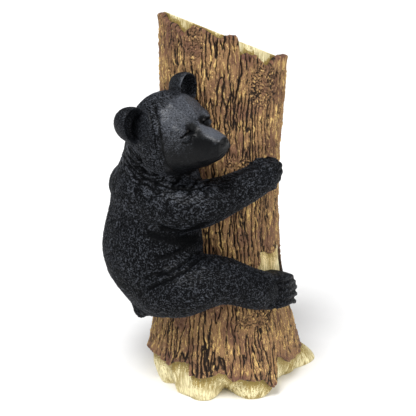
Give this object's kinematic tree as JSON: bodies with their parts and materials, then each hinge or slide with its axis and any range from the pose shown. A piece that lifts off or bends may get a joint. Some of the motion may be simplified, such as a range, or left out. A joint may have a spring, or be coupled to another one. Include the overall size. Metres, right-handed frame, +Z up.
{
  "type": "climbing bear statue",
  "caption": "Garden statue of a young bear hugging the bark of a sawn tree stump, cast as one hollow painted body that stands on the stump's flat underside.",
  "frame": {"origin": "on the floor under the axis of the stump, in the flat underside", "axes": "+Z up along the stump; the cub's back is on the -X side and its right arm and leg cross the -Y side, which is the front"},
  "size_m": [0.3353, 0.2973, 0.56],
  "materials": {
    "painted_resin": "hand-painted cast resin, matt",
    "black_fur_paint": "black paint over carved fur, satin on the muzzle",
    "bark_paint": "brown paint with ochre brushed over the ridges, matt",
    "cut_wood_paint": "cream paint with an olive stain in the hollows, matt",
    "eye_gloss": "black gloss"
  },
  "bodies": {
    "root": {"climbing_bear_statue": "painted_resin"}
  },
  "joints": []
}
